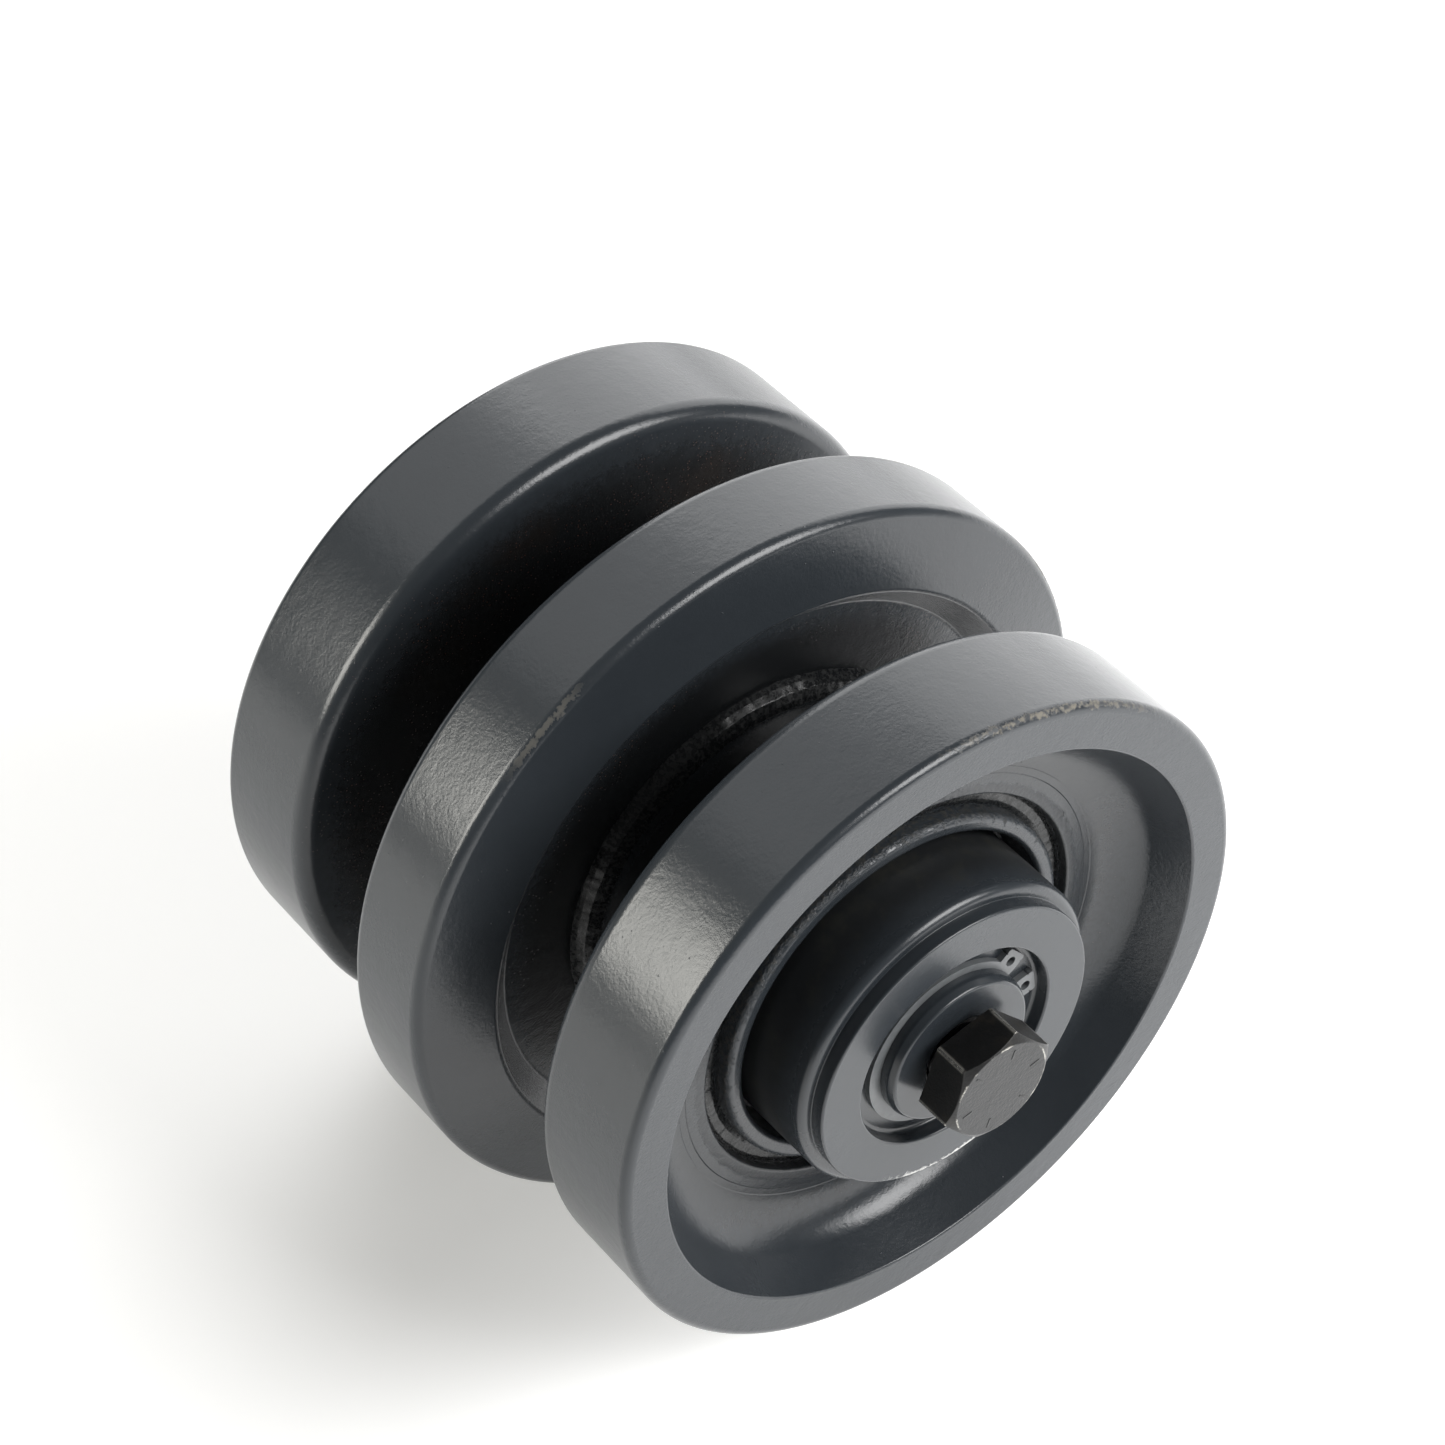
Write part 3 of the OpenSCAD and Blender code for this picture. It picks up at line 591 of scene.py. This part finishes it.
# %% Group: rust specks
rust, given, out = new_group("rust_specks", {"Vector": (0, 0, 0), "Scale": 420.0, "Amount": 0.5}, ["Mask"])
dots = put(rust, "TexVoronoi", {"feature": "F1"}, Vector=given["Vector"], Scale=given["Scale"])
dots = dots.outputs["Distance"]
clusters = ramp(rust, grain(rust, given["Vector"], 38.0, 3.0),
                math_node(rust, "SUBTRACT", 0.85, given["Amount"]),
                math_node(rust, "SUBTRACT", 1.0, given["Amount"]))
rust.links.new(math_node(rust, "MULTIPLY", ramp(rust, dots, 0.2, 0.1), clusters), out["Mask"])

# %% Group: rough forged or welded skin
rough, given, out = new_group("rough_skin", {"Vector": (0, 0, 0), "Scale": 1.0}, ["Height", "Mask"])
scaled = put(rough, "VectorMath", {"operation": "SCALE"}, i0=given["Vector"], Scale=given["Scale"]).outputs[0]
pits = put(rough, "TexVoronoi", {"feature": "SMOOTH_F1"}, Vector=scaled, Scale=900.0).outputs["Distance"]
lumps = grain(rough, scaled, 700.0, 6.0, 0.65)
rough.links.new(math_node(rough, "ADD", math_node(rough, "MULTIPLY", pits, 0.5), lumps), out["Height"])
rough.links.new(ramp(rough, lumps, 0.42, 0.62), out["Mask"])

# %% Group: turning marks
lathe, given, out = new_group("turning_marks", {"Vector": (0, 0, 0), "Scale": 3000.0}, ["Height"])
radius, place_along, along = radius_and_place(lathe, given["Vector"])
lines = put(lathe, "CombineXYZ", X=radius, Y=along).outputs[0]
lathe.links.new(grain(lathe, lines, given["Scale"], 3.0, 0.6), out["Height"])
print("groups:", [g.name for g in bpy.data.node_groups])

# %% [markdown]
# ## Materials
# The roller was dipped or sprayed in one slate grey, half-gloss paint after assembly. The Principled shader
# with a fairly low roughness gives the paint its sharp but slightly broken highlights. What changes from piece
# to piece is the wear: scuffed primer on the rim nose, rust specks in the grooves, chips on the collar. The
# grooves, recesses, welds and collar barrels are also painted darker, as painted shade.

# %% Helpers for materials
slate = (0.028, 0.033, 0.0385, 1)
slate_dark = (0.024, 0.0285, 0.0335, 1)
# shade is painted shade for grooves and recesses; barrel_shade is painted shade on the collar barrels in the
# dishes
shade = (0.010, 0.011, 0.012, 1)
barrel_shade = (0.011, 0.012, 0.013, 1)
primer = (0.17, 0.155, 0.125, 1)
rubbed_paint = (0.14, 0.13, 0.11, 1)
rust_bloom = (0.022, 0.014, 0.010, 1)
rust_speck = (0.10, 0.034, 0.014, 1)
pale_speck = (0.10, 0.045, 0.02, 1)
bare_chip = (0.62, 0.62, 0.60, 1)
tread_depth = 0.00009
fine_depth = 0.00004


def new_material(name, **values):
    """A material with one Principled shader whose even values are set on its own sockets."""
    packed = bpy.data.materials.get(name)
    if packed:
        packed.name = name + "_packed"
    material = bpy.data.materials.new(name)
    material.use_nodes = True
    tree = material.node_tree
    shader = tree.nodes["Principled BSDF"]
    for key, value in values.items():
        shader.inputs[key.replace("_", " ")].default_value = value
    return material, tree, shader, tree.nodes.new("ShaderNodeTexCoord").outputs["Object"]


def use(tree, group, **inputs):
    """Places a shared group in a material with its own values."""
    made = tree.nodes.new("ShaderNodeGroup")
    made.node_tree = group
    for key, value in inputs.items():
        if isinstance(value, bpy.types.NodeSocket):
            tree.links.new(value, made.inputs[key])
        else:
            made.inputs[key].default_value = value
    return made.outputs


def blend_colour(tree, mask, low, high):
    """Low colour where the mask is 0, high colour where it is 1."""
    made = put(tree, "Mix", {"data_type": "RGBA"})
    for socket, value in ((made.inputs["Factor"], mask), (made.inputs[6], low), (made.inputs[7], high)):
        if isinstance(value, bpy.types.NodeSocket):
            tree.links.new(value, socket)
        else:
            socket.default_value = value
    return made.outputs[2]


def blend_value(tree, mask, low, high):
    """Low value where the mask is 0, high value where it is 1."""
    return put(tree, "Mix", i0=mask, i2=low, i3=high).outputs[0]


def bump(tree, shader, height, distance, strength=1.0):
    """Feeds a height in as a bump, in metres."""
    made = put(tree, "Bump", Strength=strength, Distance=distance, Height=height)
    tree.links.new(made.outputs[0], shader.inputs["Normal"])


def product(tree, first, second):
    """Product of two values, such as a mask and its strength."""
    return math_node(tree, "MULTIPLY", first, second)


def masks_to(tree, first, *others):
    """Largest of several masks."""
    for other in others:
        first = math_node(tree, "MAXIMUM", first, other)
    return first


def ring(tree, vector, radius, along, reach, breakup=1.0):
    """A mask along one ring of the piece, for wear and for painted shade, in millimetres."""
    made = use(tree, ring_wear, Vector=vector, Radius=radius * MM, Place=along * MM,
               Reach=reach * MM, Breakup=breakup)
    return made["Mask"]


def spot(tree, vector, radius, degrees, along, size):
    """A patch around one point of a turned piece, in millimetres and degrees."""
    turn_to = math.radians(degrees)
    centre = (radius * MM * math.cos(turn_to), along * MM, radius * MM * math.sin(turn_to))
    return use(tree, patch, Vector=vector, Centre=centre, Size=size * MM)["Mask"]


def slate_coat(tree, film):
    """The slate paint, which varies softly between its two shades."""
    return blend_colour(tree, ramp(tree, film["Cloud"], 0.3, 0.7), slate_dark, slate)


def finish_paint(tree, shader, colour, gloss, height, distance=0.00006):
    """Joins colour, roughness and height to the shader."""
    tree.links.new(colour, shader.inputs["Base Color"])
    tree.links.new(gloss, shader.inputs["Roughness"])
    bump(tree, shader, height, distance)


# %% Paint of the dished wheels
wheel_paint, tree, shader, where = new_material("wheel_paint", IOR=1.5)
film = use(tree, skin, Vector=where, Peel=1.0)
knocks = masks_to(tree, spot(tree, where, tread_r, 70, -rim_face, 44),
                  spot(tree, where, tread_r, 225, rim_face, 50),
                  spot(tree, where, tread_r, 300, -rim_face, 30))
scuffed = product(tree, ring(tree, where, tread_r - 0.5, rim_face - 1.0, 1.05, 1.9), knocks)
pits_and_painted_shade = masks_to(tree, ring(tree, where, groove_r + 0.6, web_face, 3.4, 0.35),
                  ring(tree, where, hub_r + 2, groove_floor, 6.0, 0.2))
specks = product(tree, use(tree, rust, Vector=where, Scale=800.0, Amount=0.44)["Mask"],
                 ring(tree, where, 80.0, wheel_back, 22.0, 0.3))
blooms = product(tree, ramp(tree, film["Cloud"], 0.52, 0.72), ring(tree, where, 76.0, wheel_back, 20.0, 0.4))
coarse = use(tree, rough, Vector=where, Scale=1.0)
# The back face of the wheel, inside the groove, is darkened toward the shade colour: painted shade.
painted_recess_shade = ring(tree, where, 72.0, wheel_back, 24.0, 0.25)
colour = blend_colour(tree, painted_recess_shade, slate_coat(tree, film), shade)
# The pitted ring in the groove is also darkened toward the shade colour: painted shade over real pits.
colour = blend_colour(tree, product(tree, pits_and_painted_shade, 0.35), colour, shade)
colour = blend_colour(tree, product(tree, scuffed, ramp(tree, coarse["Height"], 0.60, 0.82)), colour, primer)
colour = blend_colour(tree, product(tree, blooms, 0.5), colour, rust_bloom)
colour = blend_colour(tree, product(tree, specks, 0.6), colour, rust_speck)
gloss = blend_value(tree, film["Cloud"], 0.22, 0.28)
gloss = blend_value(tree, masks_to(tree, scuffed, specks), blend_value(tree, pits_and_painted_shade, gloss, 0.32), 0.5)
worn_height = product(tree, coarse["Height"], product(tree, masks_to(tree, pits_and_painted_shade, scuffed), 2.0))
height = math_node(tree, "ADD", film["Height"], worn_height)
finish_paint(tree, shader, colour, gloss, height, tread_depth)

# %% Paint of the centre flange
flange_paint, tree, shader, where = new_material("flange_paint", IOR=1.5)
film = use(tree, skin, Vector=where, Peel=1.0)
knocks = masks_to(tree, spot(tree, where, flange_r, 127, -flange_edge, 18),
                  spot(tree, where, flange_r, 20, flange_edge, 60))
scuffed = product(tree, ring(tree, where, flange_r - 0.7, flange_edge - 0.8, 0.9, 2.2), knocks)
specks = product(tree, use(tree, rust, Vector=where, Scale=800.0, Amount=0.36)["Mask"],
                 ring(tree, where, flange_lip_r - 8, flange_web, 12.0, 0.3))
colour = slate_coat(tree, film)
# The recessed web of the flange is darkened toward the shade colour: painted shade.
painted_recess_shade = ring(tree, where, 66.0, flange_web, 15.0, 0.25)
colour = blend_colour(tree, painted_recess_shade, colour, shade)
colour = blend_colour(tree, product(tree, scuffed, 0.45), colour, rubbed_paint)
colour = blend_colour(tree, product(tree, specks, 0.6), colour, pale_speck)
gloss = blend_value(tree, masks_to(tree, scuffed, specks), blend_value(tree, film["Cloud"], 0.22, 0.28), 0.5)
finish_paint(tree, shader, colour, gloss, film["Height"], tread_depth)

# %% Paint of the hub, with its rough lip
hub_paint, tree, shader, where = new_material("hub_paint", IOR=1.5)
film = use(tree, skin, Vector=where, Peel=1.3)
coarse = use(tree, rough, Vector=where, Scale=1.0)
lip = masks_to(tree, ring(tree, where, hub_r + 0.5, hub_lip - 3.2, 3.4, 0.8),
               ring(tree, where, hub_r, 45, 20, 0.4))
colour = slate_coat(tree, film)
# The hub's outside between the wheels and the flange is darkened toward the shade colour: painted shade.
colour = blend_colour(tree, ring(tree, where, hub_r, 33.0, 24.0, 0.2), colour, shade)
colour = blend_colour(tree, product(tree, lip, coarse["Mask"]), colour, (0.045, 0.045, 0.042, 1))
gloss = blend_value(tree, lip, blend_value(tree, film["Cloud"], 0.22, 0.3), 0.26)
rough_lip = product(tree, coarse["Height"], product(tree, lip, 5.0))
height = math_node(tree, "ADD", film["Height"], rough_lip)
finish_paint(tree, shader, colour, gloss, height)

# %% Paint of the collars, with chips along the land
collar_paint, tree, shader, where = new_material("collar_paint", IOR=1.5)
film = use(tree, skin, Vector=where, Peel=0.8)
knocks = masks_to(tree, spot(tree, where, land_r, 266, -collar_face, 22),
                  spot(tree, where, land_r, 90, collar_face, 20))
chips = product(tree, ring(tree, where, land_r - 0.2, collar_face - 0.1, 1.5, 1.2), knocks)
chips = product(tree, chips, ramp(tree, grain(tree, where, 700.0, 4.0, 0.7), 0.42, 0.5))
grime = product(tree, ring(tree, where, collar_r, 76.0, 13.0, 0.5),
                ramp(tree, grain(tree, where, 90.0, 5.0, 0.7), 0.48, 0.7))
barrel = ring(tree, where, collar_r, 74.0, 15.5, 0.1)
colour = slate_coat(tree, film)
# barrel_shade darkens the barrel that sits deep in the dish: painted shade.
colour = blend_colour(tree, barrel, colour, barrel_shade)
colour = blend_colour(tree, product(tree, grime, 0.35), colour, (0.036, 0.035, 0.026, 1))
colour = blend_colour(tree, chips, colour, bare_chip)
gloss = blend_value(tree, masks_to(tree, grime, chips), blend_value(tree, film["Cloud"], 0.2, 0.32), 0.5)
gloss = blend_value(tree, barrel, gloss, 0.42)
finish_paint(tree, shader, colour, gloss, film["Height"], fine_depth)

# %% Paint over the welds
weld_paint, tree, shader, where = new_material("weld_paint", IOR=1.38)
film = use(tree, skin, Vector=where, Peel=1.0)
coarse = use(tree, rough, Vector=where, Scale=1.2)
# The weld colours are darker than the slate paint over the beads: painted shade for the grooves they lie in.
colour = blend_colour(tree, coarse["Mask"], (0.008, 0.009, 0.010, 1), (0.018, 0.019, 0.019, 1))
gloss = blend_value(tree, coarse["Mask"], 0.22, 0.4)
height = math_node(tree, "ADD", film["Height"], product(tree, coarse["Height"], 0.4))
finish_paint(tree, shader, colour, gloss, height)

# %% [markdown]
# ## Bare and coated metals
# The shaft's end has only a thin coat, so turning marks show through. The bolt is black oxide steel, worn
# bright along the edges a spanner touches. The circlip is phosphated spring steel under the same grey spray.
# The metals inside, which never show unless the roller is opened, get their own finish too.

# %% Shaft steel under a thin coat
bright_steel, tree, shader, where = new_material("bright_steel", IOR=1.5)
film = use(tree, skin, Vector=where, Peel=0.7)
marks = use(tree, lathe, Vector=where, Scale=2600.0)["Height"]
parts = put(tree, "SeparateXYZ", i0=where).outputs
ends = ramp(tree, math_node(tree, "ABSOLUTE", parts[1]), 0.0912, 0.0920)
colour = blend_colour(tree, ends, blend_colour(tree, marks, (0.44, 0.44, 0.44, 1), (0.6, 0.6, 0.6, 1)),
                      slate_coat(tree, film))
tree.links.new(math_node(tree, "SUBTRACT", 1.0, ends), shader.inputs["Metallic"])
gloss = blend_value(tree, ends, blend_value(tree, marks, 0.2, 0.4), blend_value(tree, film["Cloud"], 0.2, 0.3))
height = math_node(tree, "ADD", film["Height"], product(tree, marks, 0.25))
finish_paint(tree, shader, colour, gloss, height, fine_depth)

# %% Black oxide steel of the bolts
black_steel, tree, shader, where = new_material("black_steel", IOR=1.4)
blotch = grain(tree, where, 130.0, 6.0, 0.7)
fine = grain(tree, where, 1400.0, 3.0, 0.6)
radius, place_along, _ = radius_and_place(tree, where)
corners = product(tree, ramp(tree, radius, 0.0168, 0.01725), ramp(tree, blotch, 0.38, 0.5))
rim = product(tree, ring(tree, where, 14.6, bolt_top, 0.4, 1.0), ramp(tree, blotch, 0.48, 0.6))
worn = masks_to(tree, corners, rim)
top = ramp(tree, place_along, (bolt_top - 0.4) * MM, (bolt_top - 0.1) * MM)
rusty = ramp(tree, blotch, 0.5, 0.68)
colour = blend_colour(tree, rusty, (0.004, 0.004, 0.004, 1), (0.014, 0.012, 0.009, 1))
top_colour = blend_colour(tree, blotch, (0.004, 0.0045, 0.005, 1), (0.013, 0.014, 0.015, 1))
colour = blend_colour(tree, top, colour, top_colour)
colour = blend_colour(tree, worn, colour, (0.36, 0.35, 0.32, 1))
gloss = blend_value(tree, top, blend_value(tree, blotch, 0.3, 0.5), 0.3)
gloss = blend_value(tree, worn, gloss, 0.25)
tree.links.new(product(tree, worn, 0.9), shader.inputs["Metallic"])
height = math_node(tree, "ADD", blotch, product(tree, fine, 0.6))
finish_paint(tree, shader, colour, gloss, height, 0.00016)

# %% Spring steel of the circlips
spring_steel, tree, shader, where = new_material("spring_steel", IOR=1.5)
film = use(tree, skin, Vector=where, Peel=0.6)
stamped = grain(tree, where, 500.0, 4.0, 0.6)
colour = blend_colour(tree, stamped, (0.075, 0.08, 0.084, 1), (0.15, 0.158, 0.163, 1))
gloss = blend_value(tree, stamped, 0.25, 0.42)
finish_paint(tree, shader, colour, gloss, math_node(tree, "ADD", film["Height"], stamped), fine_depth)

# %% Zinc-coated plug
plug_steel, tree, shader, where = new_material("plug_steel", Metallic=1.0)
spangle = put(tree, "TexVoronoi", {"feature": "F1"}, Vector=where, Scale=900.0).outputs["Color"]
dull = grain(tree, where, 600.0, 4.0)
colour = blend_colour(tree, spangle, (0.42, 0.43, 0.43, 1), (0.62, 0.62, 0.60, 1))
finish_paint(tree, shader, colour, blend_value(tree, dull, 0.25, 0.5), dull, 0.00003)

# %% Rubber of the packing and seal rings
rubber, tree, shader, where = new_material("rubber", IOR=1.5)
bloom = grain(tree, where, 70.0, 5.0, 0.6)
pores = grain(tree, where, 2500.0, 2.0)
colour = blend_colour(tree, ramp(tree, bloom, 0.4, 0.7), (0.012, 0.012, 0.012, 1), (0.03, 0.03, 0.029, 1))
finish_paint(tree, shader, colour, blend_value(tree, bloom, 0.5, 0.72), pores, 0.00003)

# %% Cast iron of the seal rings
seal_iron, tree, shader, where = new_material("seal_iron", Metallic=1.0)
marks = use(tree, lathe, Vector=where, Scale=4000.0)["Height"]
flakes = put(tree, "TexVoronoi", {"feature": "F1"}, Vector=where, Scale=2200.0).outputs["Distance"]
colour = blend_colour(tree, ramp(tree, flakes, 0.15, 0.3), (0.2, 0.2, 0.2, 1), (0.42, 0.42, 0.41, 1))
finish_paint(tree, shader, colour, blend_value(tree, marks, 0.12, 0.4), marks, 0.00002)

# %% Bronze of the bushings
bronze, tree, shader, where = new_material("bronze", Metallic=1.0)
marks = use(tree, lathe, Vector=where, Scale=1800.0)["Height"]
stain = grain(tree, where, 120.0, 5.0, 0.6)
colour = blend_colour(tree, stain, (0.42, 0.25, 0.11, 1), (0.68, 0.46, 0.22, 1))
finish_paint(tree, shader, colour, blend_value(tree, stain, 0.22, 0.45), marks, 0.00003)

# %% Give every piece its material
finishes = {m.name: m for m in (wheel_paint, flange_paint, hub_paint, collar_paint, weld_paint, bright_steel,
                                black_steel, spring_steel, plug_steel, rubber, seal_iron, bronze)}
slot_of = {part["node"]: part["material_slot"] for part in frame["record"]["subparts"]}
dressed = {
    wheel_right: "wheel_paint", wheel_left: "wheel_paint", flange: "flange_paint", hub: "hub_paint",
    collar_right: "collar_paint", collar_left: "collar_paint", shaft: "bright_steel",
    bolt_right: "black_steel", bolt_left: "black_steel", clips: "spring_steel"}
dressed.update({o: "weld_paint" for o in bpy.data.objects if o.name.endswith("_rippled")})
dressed.update({frame["nodes"][node]: slot for node, slot in slot_of.items()})
for piece, finish in dressed.items():
    piece.data.materials.clear()
    piece.data.materials.append(finishes[finish])
print(len(dressed), "pieces and nodes dressed")

# %% [markdown]
# ## Floor, light and camera
# The roller lies on a pale floor with a painted glow, brightest towards the front right, where the flat faces
# mirror it, and dim towards the back left, as painted shade. A soft light at the front right lines the corners,
# a smaller and warmer one at the left draws the long highlight down the treads, and a wide one at the right back
# and a dim one overhead shade them from end to end.

# %% Lay the floor
floor_z = cad_box[0][2]
pick_nothing()
bpy.ops.mesh.primitive_plane_add(size=12.0, location=(0, 0, floor_z))
floor = bpy.context.object
floor.name = "floor"
floor_paint, tree, shader, where = new_material("pale_floor", Roughness=0.6, Emission_Strength=1.0)
spread = put(tree, "SeparateXYZ", i0=where).outputs
# The floor's emission is painted light: brightest towards the front right, fading to painted shade at the back
# left.
front_right = math_node(tree, "SUBTRACT", product(tree, spread[0], 0.6), product(tree, spread[1], 0.8))
glow = ramp(tree, front_right, -0.10, 0.16, 0.05, 0.90)
tree.links.new(put(tree, "CombineColor", i0=glow, i1=glow, i2=glow).outputs[0], shader.inputs["Emission Color"])
pale = blend_colour(tree, grain(tree, where, 3.0, 2.0), (0.93, 0.93, 0.93, 1), (0.95, 0.95, 0.95, 1))
tree.links.new(pale, shader.inputs["Base Color"])
floor.data.materials.append(floor_paint)


# %% Hang the lights
def soft_light(name, towards, distance, size, power, tall=None, tint=(1, 1, 1)):
    """A rectangular soft light in a direction from the roller, facing it."""
    data = bpy.data.lights.new(name, "AREA")
    data.shape = "RECTANGLE"
    data.size, data.size_y = size, tall or size
    data.energy, data.color = power, tint
    lamp = bpy.data.objects.new(name, data)
    bpy.context.collection.objects.link(lamp)
    lamp.location = Vector(towards).normalized() * distance
    lamp.visible_camera = False
    lamp.rotation_euler = (-lamp.location).to_track_quat("-Z", "Y").to_euler()


soft_light("front_light", (0.40, -0.70, 0.57), 1.6, 1.0, 27, tall=0.8)
soft_light("left_light", (-1.2, 0.5, 0.5), 1.4, 0.62, 14, tall=0.66, tint=(1, 0.985, 0.92))
soft_light("right_light", (0.80, 0.57, 0.45), 2.2, 3.0, 56, tall=2.0)
soft_light("top_light", (-0.05, 0.62, 0.80), 2.2, 2.2, 11, tall=1.2)
world = bpy.data.worlds.new("studio")
bpy.context.scene.world = world
world.use_nodes = True
world.node_tree.nodes["Background"].inputs["Color"].default_value = (1, 1, 1, 1)
world.node_tree.nodes["Background"].inputs["Strength"].default_value = 0.08

# %% Set the camera
turn_angle, lift = math.radians(-37.4335), math.radians(44.1046)
back = Vector((math.sin(turn_angle) * math.cos(lift), -math.cos(turn_angle) * math.cos(lift), math.sin(lift)))
right = Vector((math.cos(turn_angle), math.sin(turn_angle), 0))
up = back.cross(right)
eye = (back * 10.4097509 + up * 0.2927144 - right * 0.0064449) * 99 * MM
camera_data = bpy.data.cameras.new("camera")
camera_data.sensor_width = 36.0
camera_data.lens = 95.82
camera = bpy.data.objects.new("camera", camera_data)
bpy.context.collection.objects.link(camera)
camera.matrix_world = Matrix(((right.x, up.x, back.x, eye.x), (right.y, up.y, back.y, eye.y),
                              (right.z, up.z, back.z, eye.z), (0, 0, 0, 1)))
bpy.context.scene.camera = camera
bpy.context.scene.view_settings.view_transform = "Standard"
print("camera at", [round(v, 3) for v in eye])
